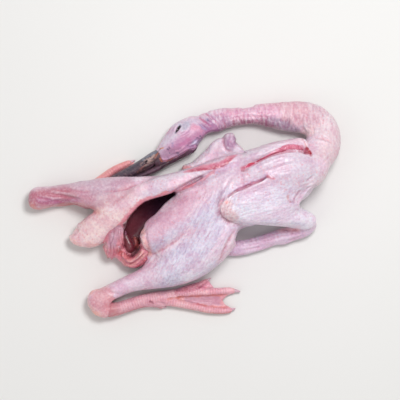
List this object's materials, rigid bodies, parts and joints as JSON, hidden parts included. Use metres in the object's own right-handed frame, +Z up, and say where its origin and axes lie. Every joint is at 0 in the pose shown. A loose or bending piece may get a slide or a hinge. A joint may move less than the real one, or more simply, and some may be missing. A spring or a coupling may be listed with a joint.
{
  "type": "whole raw duck",
  "caption": "Whole plucked raw duck lying flat, slit and drawn along the belly, with head, bent neck, folded wings and webbed feet.",
  "frame": {"origin": "centre of the bounding box's underside, on the surface that the bird lies on", "axes": "+Z up from the surface; +X along the bird towards the bend of the neck, with the tail and the hocks at -X; +Y towards the head"},
  "size_m": [0.3122, 0.2184, 0.0756],
  "materials": {
    "raw_skin": "moist, soft, finely pimpled skin, pale pink with redder folds",
    "bill_horn": "satin dark horn",
    "foot_skin": "scaly salmon pink foot skin",
    "raw_flesh": "wet dark red flesh and membrane inside the body"
  },
  "bodies": {
    "root": {"duck": "raw_skin"}
  },
  "joints": []
}
